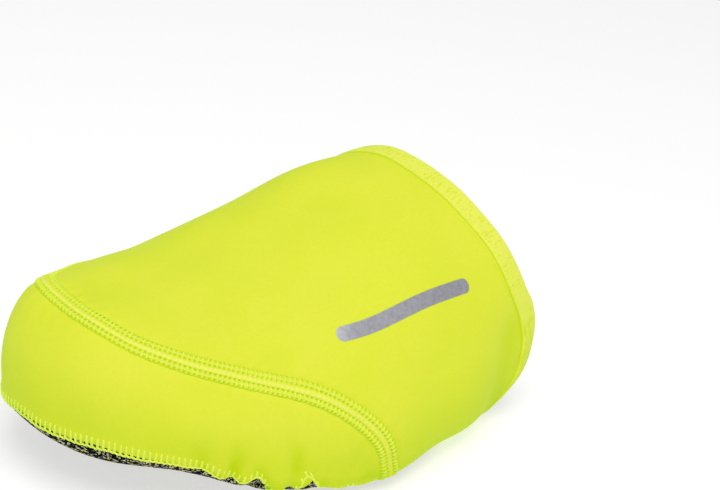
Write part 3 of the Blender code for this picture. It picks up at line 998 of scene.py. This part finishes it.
def make_edge_threads():
    """Overlock threads over the toe panel's edge, and round the cleat opening."""
    length = lengths_along(sole_front)[-1]
    spots = np.arange(CORNER_TRIM + 0.001, length - CORNER_TRIM - 0.001, EDGE_STITCH)
    ups = EDGE_REACH * RUNG

    def lifted(at):
        return overhang(at) - edge_lift(at)

    ladder = rungs(sole_front, spots, 0.0004, -ups, lifted)
    normal = normals(ladder)
    sunk = 0.0004 * bell(1 - RUNG, 0.14)
    proud = ease(-0.00008, 0.00020, (overhang(spots)[:, None] - OVERHANG[0]) / 0.0009)
    height = folds(ladder) + gathered(ladder) + rolled(ups) + proud - sunk
    paths = ladder + normal * (height * off_floor(ladder))[..., None]
    points, faces = sweep(paths, normal, EDGE_THREAD_RADIUS, 6, 0.6)

    # A cord of looped thread runs along the rungs' lower ends
    count = 1400
    at = np.linspace(CORNER_TRIM, length - CORNER_TRIM, count)
    loops = 0.00012 * np.sin(at * 2 * math.pi / EDGE_STITCH)
    cord = cut(sole_front, count, lifted(at) + loops, CORNER_TRIM)
    normal = normals(cord)
    height = (folds(cord) + gathered(cord) + CORD_HEIGHT) * off_floor(cord)
    cord_points, cord_faces = sweep([cord + normal * height[:, None]], [normal], CORD_RADIUS, 6, 0.8)
    faces += [[len(points) + index for index in face] for face in cord_faces]
    points = np.concatenate([points, cord_points])
    add_mesh("sole_edge_threads", points, faces, [yellow_thread])

    turn = np.linspace(0, 2 * math.pi, 1200)
    toward = np.stack([OPENING_X + np.cos(turn), OPENING_FROM_TOE + np.sin(turn), 0 * turn], -1)
    zigzag = np.abs(2 * ((turn * OPENING_STITCHES / (2 * math.pi)) % 1) - 1)
    near, far = OPENING_REACH
    rim = opening_rim(toward, near + far * zigzag)
    rim[:, 2] += OPENING_THREAD_HEIGHT
    up = np.tile([0.0, 0.0, 1.0], (len(rim), 1))
    points, faces = sweep([rim], [up], OPENING_THREAD_RADIUS, 5, 0.8)
    add_mesh("opening_threads", points, faces, [black_thread])


def make_strip():
    """A plain reflective strip, printed along the lateral side of the instep."""
    line = trace(REFLECTIVE_LINE)
    count, lines = 160, 13
    length = lengths_along(line)[-1]
    at = np.linspace(0, length, count)
    short = np.clip(STRIP_WIDTH / 2 - np.minimum(at, length - at), 0, STRIP_WIDTH / 2)
    half = np.sqrt((STRIP_WIDTH / 2) ** 2 - short**2)
    rows = np.stack([cut(line, count, half * share) for share in np.linspace(-1, 1, lines)])
    rows = rows + normals(rows) * (folds(rows) + STRIP_HEIGHT)[..., None]
    faces = grid_faces(lines, count, False)
    add_mesh("reflective_strip", rows.reshape(-1, 3), faces, [glass_beads("reflective_print")])


def make_camera():
    """The photograph's view, as fitted to the cover's outline."""
    place, target = Vector((0.3038, -0.2627, 0.2747)), Vector((-0.00611, 0.04447, 0.05166))
    roll = math.radians(7.46)
    back = (place - target).normalized()
    right = Vector((0, 0, 1)).cross(back).normalized()
    up = back.cross(right)
    turned = right * math.cos(roll) + up * math.sin(roll)
    data = bpy.data.cameras.new("camera")
    data.lens, data.sensor_width = 72.63, 36.0
    data.clip_start, data.clip_end = 0.01, 20.0
    camera = bpy.data.objects.new("camera", data)
    axes = Matrix((turned, back.cross(turned), back)).transposed()
    camera.matrix_world = Matrix.Translation(place) @ axes.to_4x4()
    bpy.context.scene.collection.objects.link(camera)
    bpy.context.scene.camera = camera


def make_light(name, place, target, size, power):
    data = bpy.data.lights.new(name, "AREA")
    data.shape, data.size, data.energy = "DISK", size, power
    light = bpy.data.objects.new(name, data)
    light.location = place
    light.rotation_mode = "QUATERNION"
    light.rotation_quaternion = (Vector(place) - Vector(target)).to_track_quat("Z", "Y")
    bpy.context.scene.collection.objects.link(light)


def make_studio():
    """A pale floor that glows a little, an even white sky and one large soft light."""
    bpy.ops.mesh.primitive_plane_add(size=12.0)
    floor = bpy.context.object
    floor.name = "floor"
    material, _, shader = new_material("studio_floor", 0.7, glow=0.6, glow_colour=WHITE)
    shader.inputs["Base Color"].default_value = (0.5, 0.5, 0.5, 1.0)
    floor.data.materials.append(material)
    world = bpy.data.worlds.new("studio")
    world.use_nodes = True
    background = world.node_tree.nodes["Background"]
    background.inputs["Color"].default_value = (*WHITE, 1.0)
    background.inputs["Strength"].default_value = 0.34
    bpy.context.scene.world = world
    middle = (0.0, 0.0, 0.04)
    make_light("key", (0.34, -0.22, 1.05), middle, 0.8, 8.7)
    bpy.context.scene.view_settings.view_transform = "Standard"


make_upper()
make_toe_panel()
make_toe_seam()
make_hem()
make_sole()
make_edge_threads()
make_strip()
make_studio()
make_camera()
